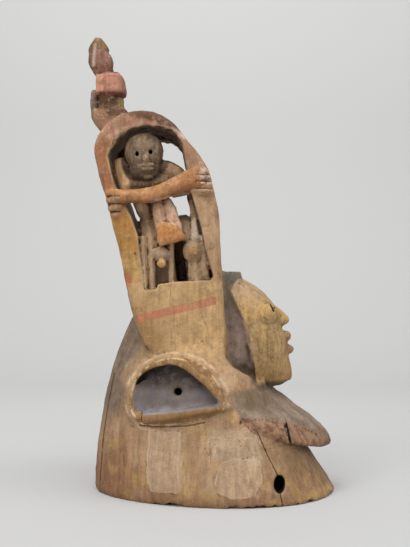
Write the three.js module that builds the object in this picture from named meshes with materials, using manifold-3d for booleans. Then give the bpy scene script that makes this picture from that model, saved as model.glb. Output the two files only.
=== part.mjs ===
// A helmet mask carved from one block of wood. X points the way the faces look, Y to the far side, Z up.
// The two sides match, mirrored in Y. All sizes are millimetres.
import * as THREE from 'three';
import { mergeVertices } from 'three/addons/utils/BufferGeometryUtils.js';
import Module from 'manifold-3d';

const wasm = await Module();
wasm.setup();

// The helmet: an egg-shaped bell, open below. Each profile runs up the bell as [height, value].
const BELL_BACK = [
  [0, -137.5], [32, -136.5], [80, -131], [127, -121.5], [168, -108.5], [206, -92], [240, -64],
];
const BELL_FRONT = [[0, 145], [12, 138], [44, 117], [70, 99], [117, 70], [160, 56], [206, 46], [240, 30]];
const BELL_HALF_WIDTH = [
  [0, 118], [30, 116], [60, 111], [90, 104], [120, 96], [145, 83], [160, 67], [172, 57], [190, 51], [206, 46],
  [240, 34],
];
const BELL_TOP = 240;
const BELL_EGG = 0.15; // how far the widest place lies forward of the middle

// The hollow under the helmet, for the wearer's head
const HOLLOW_BACK = [[0, -120], [100, -104], [150, -82], [166, -60]];
const HOLLOW_FRONT = [[0, 124], [44, 96], [100, 58], [150, 22], [166, 0]];
const HOLLOW_HALF_WIDTH = [[0, 100], [40, 94], [80, 80], [100, 72], [130, 66], [150, 52], [166, 30]];
const HOLLOW_TOP = 166;

// The big half-moon eyes on the sides of the helmet: full and round behind, drawn out to a point in front
const EYE = { x: -37.3, z: 102.5, radius: 49.5, tilt: 0.147, sunk: 7.5, cornerRun: 10, cornerRise: 9 };
const LID = { width: 10.5, proud: 7.5, drop: 5 };
const LEDGE = { from: -41, to: 53, thick: 9, proud: 9 };
const PUPIL = { x: -37.7, z: 121.5, radius: 5 };
const BASE_HOLE = { x: 73, z: 23.5, halfWidth: 6, halfHeight: 9 };

// The visor, which wraps round the front from one side to the other
const VISOR = {
  rootX: 30, rootZ: 131, reach: 112, halfWidth: 98, tipZ: 54.5, sideZ: 95, thick: 9.5, back: 34,
};
const VISOR_FALL = [[0, 0], [0.41, 0.25], [0.58, 0.455], [0.7, 0.585], [0.8, 0.68], [0.91, 0.845], [1, 1]];

// The face on the front, and the dark hair behind it
const HAIR = { halfWidth: 38, from: -10, crownZ: 255, crownX: 37, browZ: 240 };
const HAIR_RECESS = [[9, 262], [9, 164], [24, 147], [52, 131], [110, 128], [110, 262]];
const FACE_BACK = [[121, 52], [134, 50], [177, 43], [200, 37], [223, 27], [234, 22], [246, 26]];
const FACE_FRONT = [
  [121, 80], [127, 93], [137, 95], [156, 91], [170, 90], [182, 87], [191, 82], [209, 79], [222, 69], [235, 57],
  [246, 38],
];
const FACE_HALF_WIDTH = [
  [121, 24], [130, 34], [148, 42], [170, 46], [200, 47], [222, 45], [236, 37], [246, 25],
];
const BIG_EYE = { at: [64, 31, 205], radii: [12, 8, 13.5], turn: -0.68 };

// The crest: a thick block leaning back, with an arched niche cut right through its upper part
const CREST = { halfWidth: 58, bevel: 5 };
const CREST_OUTLINE = [
  [-64, 140], [-84, 189], [-91, 208], [-106, 280], [-123, 347], [-134.5, 390], [-130, 408], [-118, 425],
  [-98, 436.5], [-74, 438], [-54, 431.5], [-41, 420], [-29, 405.5], [-17, 392], [-6.5, 375], [0, 357],
  [8, 318], [10.3, 268], [14, 212], [16, 176], [14, 150], [4, 140],
];
const NICHE_OUTLINE = [
  [-78, 234], [-82, 268], [-88, 306], [-101, 332], [-111, 354], [-119, 382], [-117.5, 394], [-106, 410],
  [-85, 419], [-66, 420.5], [-46, 416], [-34, 402], [-28, 372], [-22, 340], [-13, 310], [-5, 272], [2, 248],
  [-12, 245], [-58, 242], [-64, 235],
];
const NICHE_BACK = 28;
const FAR_OPENING = [
  [-92, 317], [-102, 346], [-107, 372], [-106, 392], [-98, 404], [-84, 411], [-66, 415], [-48, 413],
  [-36, 402], [-30, 376], [-30, 345], [-28, 317],
];

// The seated figure in the niche
const HEAD = { at: [-77.5, -40, 390.5], radii: [22.5, 20, 24.5], lean: -0.2, turn: 0.25, jaw: 0.36 };
const ARMS = [
  [-112, -60, 338], [-99, -60, 340], [-70, -60, 341.5], [-50, -60, 348], [-30, -60, 357], [-14, -59, 362],
];
const ARMS_HALF_HEIGHT = [8.5, 8, 8.8, 9.6, 11, 13.5];
const ARMS_HALF_DEPTH = [6, 7, 8, 8, 8, 7];
const FINGER = { radius: 3.9, proud: 60.5 };
const LEFT_FINGERS = { inner: -102.5, outer: -122, z: 344, step: -8.9, drift: 2.9 };
const RIGHT_FINGERS = { inner: -17, outer: -6.5, z: 368.5, step: -7.8, drift: 2.9 };
const FINGER_COUNT = 4;

// The small figure on top, standing at the back of the arch
const TOP_HEAD = [
  [-136, 484], [-145.3, 500], [-144.5, 520], [-137, 531.5], [-130, 530], [-121.5, 518.5], [-124, 515],
  [-119, 510], [-117, 503], [-118.5, 492], [-120, 484],
];
const TOP_SHOULDERS = [
  [-136, 462.5], [-136, 485], [-122, 490], [-110, 489], [-104, 483], [-101.5, 468], [-103.5, 462.5],
];
const TOP_BASE = [[-126, 415], [-139, 431], [-139, 447], [-104, 449], [-96, 440], [-88, 424]];

const WOOD_COLOUR = 0xa9793f;
const SIDES = 40;
const FAR_OUT = 130; // past the helmet's widest place, for cuts that run out through its sides
const CRUMB = 0.12; // slivers thinner than this, left where two cuts cross, are closed up

// Reads a profile of [place, value] pairs at a place, smoothly between its points
function along(profile, place) {
  const last = profile.length - 1;
  if (place <= profile[0][0]) return profile[0][1];
  if (place >= profile[last][0]) return profile[last][1];
  const next = profile.findIndex((point) => point[0] > place);
  const [a, b] = [profile[next - 1], profile[next]];
  const before = profile[Math.max(next - 2, 0)];
  const after = profile[Math.min(next + 1, last)];
  const span = b[0] - a[0];
  const t = (place - a[0]) / span;
  const slopeA = ((b[1] - before[1]) / (b[0] - before[0])) * span;
  const slopeB = ((after[1] - a[1]) / (after[0] - a[0])) * span;
  const cubic = (2 * t ** 3 - 3 * t ** 2 + 1) * a[1] + (t ** 3 - 2 * t ** 2 + t) * slopeA
    + (3 * t ** 2 - 2 * t ** 3) * b[1] + (t ** 3 - t ** 2) * slopeB;
  return cubic;
}

// A geometry with its position alone, each shared corner once and no face of zero size
function welded(geometry) {
  const bare = geometry.clone();
  for (const name of Object.keys(bare.attributes)) {
    if (name !== 'position') bare.deleteAttribute(name);
  }
  const merged = mergeVertices(bare, 1e-3);
  const corners = merged.index.array;
  const kept = [];
  for (let i = 0; i < corners.length; i += 3) {
    const [a, b, c] = [corners[i], corners[i + 1], corners[i + 2]];
    if (a !== b && b !== c && c !== a) kept.push(a, b, c);
  }
  merged.setIndex(kept);
  return merged;
}

// The same geometry with each corner moved to where place(x, y, z) puts it
function moved(geometry, place) {
  const shape = welded(geometry);
  const position = shape.attributes.position;
  for (let i = 0; i < position.count; i += 1) {
    position.setXYZ(i, ...place(position.getX(i), position.getY(i), position.getZ(i)));
  }
  return shape;
}

function mirrored(geometry) {
  const other = moved(geometry, (x, y, z) => [x, -y, z]);
  other.setIndex([...other.index.array].reverse());
  return other;
}

function solid(geometry) {
  const shape = welded(geometry);
  return new wasm.Manifold(new wasm.Mesh({
    numProp: 3,
    vertProperties: new Float32Array(shape.attributes.position.array),
    triVerts: new Uint32Array(shape.index.array),
  }));
}

function joined(geometries) {
  return geometries.map(solid).reduce((sum, part) => sum.add(part));
}

// A solid and its mirror image on the far side
function onBothSides(geometry) {
  return solid(geometry).add(solid(mirrored(geometry)));
}

// A stack of rings: place(angle, up, reach) gives each corner, with up and reach from 0 to 1
function loft(sides, rings, place) {
  const tube = new THREE.CylinderGeometry(1, 1, 1, sides, rings).rotateX(Math.PI / 2).translate(0, 0, 0.5);
  return moved(tube, (x, y, z) => place(Math.atan2(y, x), z, Math.hypot(x, y)));
}

// A shape of the side view, from y0 to y1, with its edges bevelled
function slab(points, y0, y1, bevel = 0, smooth = 0) {
  const corners = points.map(([x, z]) => new THREE.Vector2(x, z));
  const curve = new THREE.SplineCurve([...corners, corners[0]]);
  const outline = smooth ? curve.getPoints(smooth).slice(0, -1) : corners;
  const geometry = new THREE.ExtrudeGeometry(new THREE.Shape(outline), {
    depth: y1 - y0 - 2 * bevel,
    bevelEnabled: bevel > 0,
    bevelThickness: bevel,
    bevelSize: bevel,
    bevelOffset: -bevel,
    bevelSegments: bevel > 3 ? 2 : 1,
  });
  return geometry.rotateX(Math.PI / 2).translate(0, y1 - bevel, 0);
}

// An egg or, with a squareness under 1, a rounded block
function lump(at, radii, { lean = 0, turn = 0, squareness = 1, around = 10, down = 7 } = {}) {
  const power = (value) => Math.sign(value) * Math.abs(value) ** squareness;
  const ball = moved(
    new THREE.SphereGeometry(1, around, down).rotateX(Math.PI / 2),
    (x, y, z) => [power(x) * radii[0], power(y) * radii[1], power(z) * radii[2]],
  );
  return ball.rotateZ(turn).rotateY(lean).translate(...at);
}

// A limb along a smooth line of points, with a half height and a half depth at each of them
function limb(points, halfHeights, halfDepths, { sides = 7, steps = 4, ends = 0.6 } = {}) {
  const path = new THREE.CatmullRomCurve3(points.map((point) => new THREE.Vector3(...point)));
  const last = points.length - 1;
  const sizeAt = (sizes, t) => along(sizes.map((size, i) => [i / last, size]), t);
  const toFar = new THREE.Vector3(0, 1, 0);
  return loft(sides, steps, (angle, up, reach) => {
    const tangent = path.getTangent(up);
    const rise = new THREE.Vector3().crossVectors(toFar, tangent).normalize();
    const depth = new THREE.Vector3().crossVectors(tangent, rise);
    const taper = up === 0 || up === 1 ? ends : 1;
    const out = reach * taper;
    return path.getPoint(up)
      .addScaledVector(rise, Math.cos(angle) * out * sizeAt(halfHeights, up))
      .addScaledVector(depth, Math.sin(angle) * out * sizeAt(halfDepths, up))
      .toArray();
  });
}

// A plain pin of material along Y, for drilled holes
function drill(x, z, halfWidth, halfHeight, y0, y1, sides = 10) {
  return loft(sides, 1, (angle, up, reach) => [
    x + Math.cos(angle) * reach * halfWidth,
    y0 + (y1 - y0) * (1 - up),
    z + Math.sin(angle) * reach * halfHeight,
  ]);
}

// A point of the bell's plan: angle 0 is the front, and extra moves it outwards
function bellPoint(angle, z, extra, back = BELL_BACK, front = BELL_FRONT, width = BELL_HALF_WIDTH) {
  const [rear, fore] = [along(back, z) - extra, along(front, z) + extra];
  const halfLength = (fore - rear) / 2;
  const halfWidth = along(width, z) + extra;
  const x = rear + halfLength * (1 + Math.cos(angle));
  const y = halfWidth * Math.sin(angle) * (1 + BELL_EGG * Math.cos(angle));
  return [x, y, z];
}

function bell(extra, bottom = 0, rings = 12) {
  return loft(SIDES, rings, (angle, up, reach) => {
    const z = bottom + (BELL_TOP - bottom) * up;
    const [x, y] = bellPoint(angle, z, extra);
    return [x * reach, y * reach, z];
  });
}

function hollow() {
  const floor = -4;
  return loft(26, 7, (angle, up, reach) => {
    const z = floor + (HOLLOW_TOP - floor) * Math.sin(up * Math.PI / 2) ** 0.9;
    const [x, y] = bellPoint(angle, z, 0, HOLLOW_BACK, HOLLOW_FRONT, HOLLOW_HALF_WIDTH);
    const middle = -30;
    return [middle + (x - middle) * reach, y * reach, z];
  });
}

// The outline of an eye, larger by extra all round, with its straight side lowered by a drop
function eyeOutline(extra, steps, drop = 0) {
  const radius = EYE.radius + extra;
  const [level, climb] = [Math.cos(EYE.tilt), Math.sin(EYE.tilt)];
  const tilted = (run, rise) => [EYE.x + run * level - rise * climb, EYE.z + run * climb + rise * level];
  const points = [];
  for (let i = 0; i <= steps; i += 1) {
    const run = Math.cos((Math.PI * i) / steps);
    const rise = run > 0 ? 1 - run ** 1.5 : (1 + run ** 3) ** (1 / 3);
    const length = run > 0 ? EYE.radius + extra / 2 : radius;
    points.push(tilted(run * length, rise * radius));
  }
  points[steps] = tilted(-radius, EYE.cornerRise - drop);
  points.push(tilted(EYE.cornerRun - radius, -drop));
  if (drop) points.push(tilted(radius, -drop));
  return points;
}

// The raised upper lid: an arch that follows the bell
function lids() {
  const outer = onBothSides(slab(eyeOutline(LID.width, 16, LID.drop), 40, FAR_OUT));
  const inner = onBothSides(slab(eyeOutline(-0.5, 15, LID.drop + 2), 38, FAR_OUT + 2));
  return outer.subtract(inner).intersect(solid(bell(LID.proud, 60, 6)));
}

// The eye's floor lies a little under the helmet's surface
function eyeRecesses() {
  return onBothSides(slab(eyeOutline(0, 16), 30, FAR_OUT)).subtract(solid(bell(-EYE.sunk, 60, 6)));
}

// The lower lid is a straight ledge along the flat side of the eye
function ledges() {
  const [level, climb] = [Math.cos(EYE.tilt), Math.sin(EYE.tilt)];
  const overlap = 0.5;
  const corner = (run, rise) => [
    EYE.x + run * level - rise * climb, EYE.z - overlap + run * climb + rise * level,
  ];
  const bar = slab([
    corner(LEDGE.from, -LEDGE.thick), corner(LEDGE.to, -LEDGE.thick * 0.5),
    corner(LEDGE.to, 2), corner(LEDGE.from, 2),
  ], 40, FAR_OUT);
  const cheek = bell(LEDGE.proud, 60, 4);
  return onBothSides(bar).intersect(solid(cheek));
}

function pupilsAndHoles() {
  const pupil = drill(PUPIL.x, PUPIL.z, PUPIL.radius, PUPIL.radius, 30, FAR_OUT);
  const baseHole = drill(BASE_HOLE.x, BASE_HOLE.z, BASE_HOLE.halfWidth, BASE_HOLE.halfHeight, 60, FAR_OUT);
  return onBothSides(pupil).add(onBothSides(baseHole));
}

// The visor is a disc pulled forward into a blunt beak, high at the sides and low at its tip
function visor() {
  const { rootX, rootZ, reach, halfWidth, tipZ, sideZ, thick, back } = VISOR;
  const profile = [
    [0, -thick / 2], [0.97, -thick / 2], [1, -thick * 0.25], [1, thick * 0.3], [0.965, thick * 0.62],
  ];
  for (const ring of [0.88, 0.78, 0.66, 0.52, 0.34]) profile.push([ring, thick * 0.62]);
  profile.push([0, 0]);
  const section = profile.map(([r, h]) => new THREE.Vector2(r, h));
  const disc = new THREE.LatheGeometry(section, 36).rotateX(Math.PI / 2);
  return moved(disc, (x, y, h) => {
    const out = Math.hypot(x, y);
    const angle = out > 1e-6 ? Math.atan2(y, x) : 0;
    const forward = Math.cos(angle);
    const edgeX = rootX + (forward > 0 ? reach : back) * forward;
    const edgeY = halfWidth * Math.sign(Math.sin(angle)) * Math.abs(Math.sin(angle)) ** 1.6;
    const side = forward > 0 ? 1 - forward : 1;
    const edgeZ = tipZ + (sideZ - tipZ) * side ** 1.5;
    const underside = h < 0;
    const fall = underside ? Math.min(1, 0.55 + out) : along(VISOR_FALL, out);
    return [rootX + (edgeX - rootX) * out, edgeY * out, rootZ + (edgeZ - rootZ) * fall + h];
  });
}

// The hair is a flat-sided core that the face is carved on, with a flat crown
function hair() {
  const core = slab([
    [HAIR.from, 125], [HAIR.from, HAIR.browZ], [HAIR.crownX - 3, HAIR.browZ], [54, 222], [60, 180], [62, 122],
  ], -HAIR.halfWidth, HAIR.halfWidth, 4);
  const middle = (HAIR.from + HAIR.crownX) / 2;
  const halfLength = (HAIR.crownX - HAIR.from) / 2;
  const squared = (value) => Math.sign(value) * Math.abs(value) ** 0.6;
  const crown = loft(20, 4, (angle, up, reach) => {
    const out = (1 - 0.12 * up ** 4) * reach;
    const x = middle + halfLength * squared(Math.cos(angle)) * out;
    const y = (HAIR.halfWidth - 1) * squared(Math.sin(angle)) * out;
    return [x, y, HAIR.browZ - 14 + (HAIR.crownZ - HAIR.browZ + 14) * up];
  });
  return joined([core, crown]);
}

function faceShell() {
  const [low, high] = [121, 246];
  return loft(24, 15, (angle, up, reach) => {
    const z = low + (high - low) * up;
    const rear = along(FACE_BACK, z);
    const fore = along(FACE_FRONT, z);
    const forward = Math.cos(angle);
    const depth = forward > 0 ? (fore - rear) * forward ** 0.9 : 8 * forward;
    const y = along(FACE_HALF_WIDTH, z) * Math.sign(Math.sin(angle)) * Math.abs(Math.sin(angle)) ** 0.85;
    return [rear + depth * reach, y * reach, z];
  });
}

function face() {
  const [x, y, z] = BIG_EYE.at;
  const eyes = onBothSides(lump([x, y, z], BIG_EYE.radii, { turn: BIG_EYE.turn, around: 12, down: 8 }));
  const slits = onBothSides(lump([x + 6, y + 6, z + 7.5], [1.6, 9, 4.8], { lean: -0.4, around: 8, down: 4 }));
  const nose = slab([[66, 219], [80, 212], [92, 200], [91, 196], [85, 191], [70, 191]], -7, 7, 2.5);
  const wings = lump([79, 0, 197], [9, 14, 7], { around: 12, down: 6 });
  const upperLip = lump([82, 0, 179.3], [12, 17, 5.8], { squareness: 0.65, around: 14, down: 6 });
  const lowerLip = lump([82, 0, 163.5], [15, 16, 6.2], { squareness: 0.7, around: 14, down: 6 });
  const mouth = lump([96, 0, 171], [6, 17, 1.8], { around: 10, down: 4 });
  return solid(faceShell()).add(eyes).add(joined([nose, wings, upperLip, lowerLip]))
    .subtract(slits).subtract(solid(mouth));
}

function crest() {
  const { halfWidth, bevel } = CREST;
  const block = solid(slab(CREST_OUTLINE, -halfWidth, halfWidth, bevel, 40));
  const niche = moved(slab(NICHE_OUTLINE, -80, NICHE_BACK, 0, 34), (x, y, z) => {
    const narrowing = 1 - 0.1 * THREE.MathUtils.clamp((y + halfWidth) / (2 * halfWidth), 0, 1);
    const middle = -53 - 0.2 * (z - 330);
    return [middle + (x - middle) * narrowing, y, z];
  });
  const farOpening = slab(FAR_OPENING, NICHE_BACK - 6, 80, 0, 24);
  return block.subtract(solid(niche)).subtract(solid(farOpening));
}

// Fingers laid over a post, each a little further along its slanted edge
function fingers({ inner, outer, z, step, drift }) {
  const parts = [];
  for (let i = 0; i < FINGER_COUNT; i += 1) {
    const tip = outer + drift * i;
    const height = z + step * i;
    const knuckle = [inner, -FINGER.proud, height + 1.5];
    const middle = [(inner + tip) / 2, -FINGER.proud - 0.8, height + 0.6];
    const end = [tip, -FINGER.proud + 4, height];
    const [halfHeights, halfDepths] = [[3.6, FINGER.radius, 3.7], [4, 4.6, 4.8]];
    parts.push(limb([knuckle, middle, end], halfHeights, halfDepths, { steps: 3, ends: 0.8 }));
  }
  return parts;
}

function seatedHead() {
  const { at: [x, y, z], radii, lean, turn, jaw } = HEAD;
  const egg = lump([0, 0, 0], radii, { turn, squareness: 0.9, around: 16, down: 10 });
  const narrowing = (up) => 1 - jaw * Math.max(0, -up / radii[2]) ** 1.5;
  const skull = moved(egg, (across, deep, up) => [across * narrowing(up), deep, up]);
  skull.rotateY(lean).translate(x, y, z);
  const front = y - radii[1];
  const nose = lump([x + 2.5, front + 1, z - 8.5], [4.4, 5, 6.5], { lean, around: 8, down: 6 });
  const lips = [16.7, 21.2].map((drop) => (
    lump([x + 3.4, front + 3, z - drop], [8, 4, 2.6], { around: 8, down: 6 })
  ));
  const pits = [-7.2, 7.8].map((side) => (
    drill(x + side, z - 1.2 + side * 0.15, 2.3, 2.8, -75, front + 16, 8)
  ));
  return joined([skull, nose, ...lips]).subtract(joined(pits));
}

function seatedFigure() {
  const arms = limb(ARMS, ARMS_HALF_HEIGHT, ARMS_HALF_DEPTH, { sides: 9, steps: 10, ends: 0.8 });
  const neck = limb([[-74, -28, 380], [-70, -30, 352]], [13, 16], [14, 16], { steps: 2 });
  const body = lump([-66, -6, 335], [17, 24, 44], { lean: -0.1, around: 12, down: 8 });
  const chest = limb(
    [[-106, -30, 356], [-80, -36, 355], [-50, -42, 360]], [14, 14, 12], [12, 16, 12], { steps: 5 },
  );
  const leftArm = limb(
    [[-107, -28, 385], [-101, -30, 366], [-94, -36, 348]], [7.5, 11, 12], [12, 12, 12], { ends: 0.9 },
  );
  const rightArm = limb(
    [[-66, -28, 378], [-49, -36, 370], [-32, -46, 362]], [10, 12, 9], [12, 12, 9], { steps: 5 },
  );
  const flank = limb(
    [[-84, -22, 346], [-82, -26, 333], [-74, -26, 312]], [12, 9, 9], [12, 12, 10], { steps: 3 },
  );
  const rightHand = lump([-17, -58, 356], [9, 7, 15], { lean: 0.25 });
  const leftHand = lump([-108, -57, 331], [8, 6.5, 15], { lean: -0.25 });
  return joined([
    arms, neck, body, chest, flank, leftArm, rightArm, rightHand, leftHand,
    ...fingers(LEFT_FINGERS), ...fingers(RIGHT_FINGERS), ...torsoAndApron(), ...legs(),
  ]).add(seatedHead());
}

function torsoAndApron() {
  const leftRoll = limb([[-62.5, -46, 337], [-58, -51, 312], [-52, -54, 292]], [7.5, 8.5, 10], [8, 9, 8]);
  const rightRoll = limb([[-50.5, -46, 338], [-45, -51, 313], [-38, -54, 297]], [7, 8.5, 9], [8, 9, 8]);
  const apron = slab([
    [-61, 308], [-53, 311], [-40, 307], [-30.5, 296], [-29.5, 291.5], [-59, 284], [-62, 290],
  ], -64, -40, 3);
  return [leftRoll, rightRoll, apron];
}

function legs() {
  const rear = NICHE_BACK + 6;
  const leftBlock = slab([[-94, 228], [-88, 304], [-48, 304], [-45.5, 284], [-38.5, 228]], -33, rear);
  const rightBlock = slab([[-27, 228], [-33, 287], [-33, 318], [-14, 320], [4, 228]], -33, rear);
  const leftThigh = limb(
    [[-76, 0, 318], [-73, -28, 306], [-68, -46, 282]], [10, 11, 10], [10, 11, 9], { steps: 5 },
  );
  const rightThigh = limb(
    [[-34, 0, 314], [-31, -30, 308], [-24, -47, 290]], [10, 11, 10], [10, 11, 9], { steps: 5 },
  );
  const leftKnee = limb(
    [[-68, -47, 277], [-58, -50, 275], [-48, -49, 273]], [7, 9, 7.5], [8, 10, 8], { steps: 3 },
  );
  const rightKnee = lump([-21.5, -47, 279], [12, 11, 14], { around: 10, down: 6 });
  const rightShin = limb([[-20, -43, 276], [-18, -42, 236]], [8.5, 9.5], [8, 8], { steps: 2, ends: 1 });
  const nubs = [[-57, -59, 264.5], [-21.5, -58, 276]].map((at) => (
    lump(at, [6, 5, 5], { around: 6, down: 4 })
  ));
  const hip = slab([[-23.5, 315], [-18.5, 318], [-13.5, 291.5], [-24, 291.5]], -54, -20, 1.5);
  const strips = [[-78.5, -76.5, 4], [-69.5, -68, 4], [-47, -46, 3.6], [-12, -5, 4.2]].map(
    ([top, foot, radius]) => (
      limb([[top, -44, 296], [foot, -44, 234]], [radius, radius], [8, 8], { steps: 1, ends: 1 })
    ),
  );
  return [
    leftBlock, rightBlock, leftThigh, rightThigh, leftKnee, rightKnee, rightShin, ...nubs, hip, ...strips,
  ];
}

function topFigure() {
  const head = slab(TOP_HEAD, -12, 12, 4);
  const neck = limb([[-127, 0, 500], [-124, 0, 480]], [8.5, 12], [9, 12], { steps: 2, ends: 1 });
  const shoulders = slab(TOP_SHOULDERS, -19, 19, 5);
  const waist = limb([[-120, 0, 468], [-120, 0, 440]], [15, 17.5], [14, 19], { sides: 8, steps: 2, ends: 1 });
  const backPiece = slab([
    [-143, 468], [-140, 471], [-135.5, 467], [-136, 430], [-141.5, 434], [-143.5, 452],
  ], -7, 7, 2);
  const base = slab(TOP_BASE, -18, 18, 4);
  return joined([head, neck, shoulders, waist, backPiece, base]);
}

function mask() {
  const recess = slab(HAIR_RECESS, HAIR.halfWidth, FAR_OUT);
  const helmet = solid(bell(0)).add(solid(visor())).subtract(onBothSides(recess));
  return helmet
    .add(lids())
    .subtract(eyeRecesses())
    .add(ledges())
    .add(hair())
    .add(face())
    .add(crest())
    .subtract(solid(hollow()))
    .add(seatedFigure())
    .add(topFigure())
    .subtract(pupilsAndHoles());
}

function geometryOf(part) {
  const { vertProperties, triVerts } = part.getMesh();
  const geometry = new THREE.BufferGeometry();
  geometry.setAttribute('position', new THREE.BufferAttribute(vertProperties, 3));
  geometry.setIndex(new THREE.BufferAttribute(triVerts, 1));
  geometry.computeVertexNormals();
  return geometry;
}

const wood = new THREE.MeshStandardMaterial({ color: WOOD_COLOUR, roughness: 0.7, metalness: 0 });
const crestMask = new THREE.Mesh(geometryOf(mask().simplify(CRUMB)), wood);
crestMask.name = 'crest_mask';

const group = new THREE.Group();
group.add(crestMask);

export default group;
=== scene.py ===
import math

import bmesh
import bpy
import numpy as np
from mathutils import Matrix, Vector
from mathutils.bvhtree import BVHTree
from mathutils.kdtree import KDTree


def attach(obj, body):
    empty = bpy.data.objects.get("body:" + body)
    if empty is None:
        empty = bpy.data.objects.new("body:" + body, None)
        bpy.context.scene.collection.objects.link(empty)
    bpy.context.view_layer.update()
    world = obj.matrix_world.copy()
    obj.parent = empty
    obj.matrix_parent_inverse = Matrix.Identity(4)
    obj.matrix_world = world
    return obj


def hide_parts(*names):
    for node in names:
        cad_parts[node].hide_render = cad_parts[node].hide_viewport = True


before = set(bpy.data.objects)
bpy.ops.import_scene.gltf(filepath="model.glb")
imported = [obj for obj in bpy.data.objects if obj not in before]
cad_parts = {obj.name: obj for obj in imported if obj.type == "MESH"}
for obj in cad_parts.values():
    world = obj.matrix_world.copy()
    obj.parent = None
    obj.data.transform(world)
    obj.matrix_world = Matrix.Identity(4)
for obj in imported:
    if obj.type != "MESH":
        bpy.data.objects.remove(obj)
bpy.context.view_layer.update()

# The mask: one block of light wood, carved with adze and knife, hollow below for the wearer's head.
# Its paint is worn earth colour on bare wood. The solid gives every main form. Here its facets are
# smoothed, and the rounded lids, brows, lips, fingers, tool cuts, cracks and chips are carved on.
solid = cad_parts["crest_mask"]
MM = 0.001
VOXEL = 1.15 * MM
ROUGH_TRIANGLES, MOST_TRIANGLES = 830000, 196000
EGG_SIDES, EGG_RINGS, ROLL_SIDES, WAVES = 20, 12, 12, 10
OUTWARD = Vector((0, -1, 0))
HOLLOW_X = -20

clay = bmesh.new()
clay.from_mesh(solid.data)
bmesh.ops.remove_doubles(clay, verts=clay.verts, dist=0.02 * MM)
bmesh.ops.recalc_face_normals(clay, faces=clay.faces)
shape_of_solid = BVHTree.FromBMesh(clay)


def side_of_mask(x, z):
    """How far the near side lies from the middle plane at a place of the side view, in millimetres."""
    hit = shape_of_solid.ray_cast(Vector((x * MM, -0.3, z * MM)), Vector((0, 1, 0)))[0]
    return hit.y / MM if hit else 0.0


def add_lump(at, radii, turn=0.0, both_sides=False):
    """An egg of wood, with its middle and its half sizes in millimetres, turned about its upright axis."""
    for side in (1, -1) if both_sides else (1,):
        place = Matrix.Translation(Vector(at) * MM) @ Matrix.Rotation(turn, 4, "Z")
        place = place @ Matrix.Diagonal((radii[0] * MM, radii[1] * MM, radii[2] * MM, 1))
        if side < 0:
            place = Matrix.Diagonal((1, -1, 1, 1)) @ place
        made = bmesh.ops.create_uvsphere(
            clay, u_segments=EGG_SIDES, v_segments=EGG_RINGS, radius=1, matrix=place)
        if side < 0:
            bmesh.ops.reverse_faces(clay, faces=list({f for v in made["verts"] for f in v.link_faces}))


def add_roll(points, radii, flat=1.0, steps=6, both_sides=False):
    """A rounded roll of wood along a smooth line. Flat is its thickness outward over its width."""
    line = [Vector(p) for p in points]
    rows = []
    for i in range(len(line) - 1):
        before, a, b, after = line[max(i - 1, 0)], line[i], line[i + 1], line[min(i + 2, len(line) - 1)]
        for k in range(steps):
            t = k / steps
            where = 0.5 * (2 * a + (b - before) * t + (2 * before - 5 * a + 4 * b - after) * t**2
                           + (3 * a - before - 3 * b + after) * t**3)
            rows.append((where, radii[i] + (radii[i + 1] - radii[i]) * t))
    rows.append((line[-1], radii[-1]))
    for side in (1, -1) if both_sides else (1,):
        rings = []
        for i, (where, radius) in enumerate(rows):
            ahead = (rows[min(i + 1, len(rows) - 1)][0] - rows[max(i - 1, 0)][0]).normalized()
            out = (OUTWARD - OUTWARD.dot(ahead) * ahead).normalized()
            across = ahead.cross(out)
            ring = []
            for k in range(ROLL_SIDES):
                angle = 2 * math.pi * k / ROLL_SIDES
                p = where + across * radius * math.cos(angle) + out * radius * flat * math.sin(angle)
                ring.append(clay.verts.new((p.x * MM, side * p.y * MM, p.z * MM)))
            rings.append(ring)
        faces = []
        for low, high in zip(rings, rings[1:]):
            for k in range(ROLL_SIDES):
                after = (k + 1) % ROLL_SIDES
                faces.append(clay.faces.new((low[k], low[after], high[after], high[k])))
        faces.append(clay.faces.new(rings[0][::-1]))
        faces.append(clay.faces.new(rings[-1]))
        bmesh.ops.recalc_face_normals(clay, faces=faces)


# The big half-moon eyes: full and round behind, drawn out to a point in front
EYE_X, EYE_Z, EYE_RADIUS, EYE_TILT = -37.3, 102.5, 49.5, 0.147
LID_OUT, LID_POINTS, LID_RADIUS, LID_FLAT = 5.6, 17, 5.3, 0.62


def eye_outline(extra, count):
    """Points of the side view so far outside the eye's edge, from its front corner over to its back one."""
    points = []
    for i in range(count):
        run = math.cos(math.pi * i / (count - 1))
        rise = 1 - run**1.5 if run > 0 else (1 + run**3) ** (1 / 3)
        length = EYE_RADIUS + (extra / 2 if run > 0 else extra)
        a, b = run * length, rise * (EYE_RADIUS + extra)
        points.append((EYE_X + a * math.cos(EYE_TILT) - b * math.sin(EYE_TILT),
                       EYE_Z + a * math.sin(EYE_TILT) + b * math.cos(EYE_TILT)))
    return points


lid = [(x, side_of_mask(x, z) + 2.4, z) for x, z in eye_outline(LID_OUT, LID_POINTS)]
end_x, end_z = lid[-1][0] + 3.5, lid[-1][2] - 9
lid.append((end_x, side_of_mask(end_x, end_z) + 2.2, end_z))
lid_radii = [2.6, 4.2] + [LID_RADIUS] * (LID_POINTS - 4) + [4.8, 4, 2.2]
add_roll(lid, lid_radii, flat=LID_FLAT, steps=3, both_sides=True)
# The upper lid is heaviest at its front, where it turns down over the corner of the eye
LID_FRONT = [(-35.4, 155), (-19, 150.5), (-7, 141.5), (1.8, 131), (8.4, 120), (9.5, 109)]
lid_front = [(x, side_of_mask(x, z) + 2.2, z) for x, z in LID_FRONT]
add_roll(lid_front, [3, 4.6, 5, 5, 4.6, 3], flat=LID_FLAT, steps=3, both_sides=True)
# The eyeball swells toward the back corner of the eye
add_lump((-72, side_of_mask(-66, 112) + 1.2, 114), (17, 4.6, 22), both_sides=True)

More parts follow.
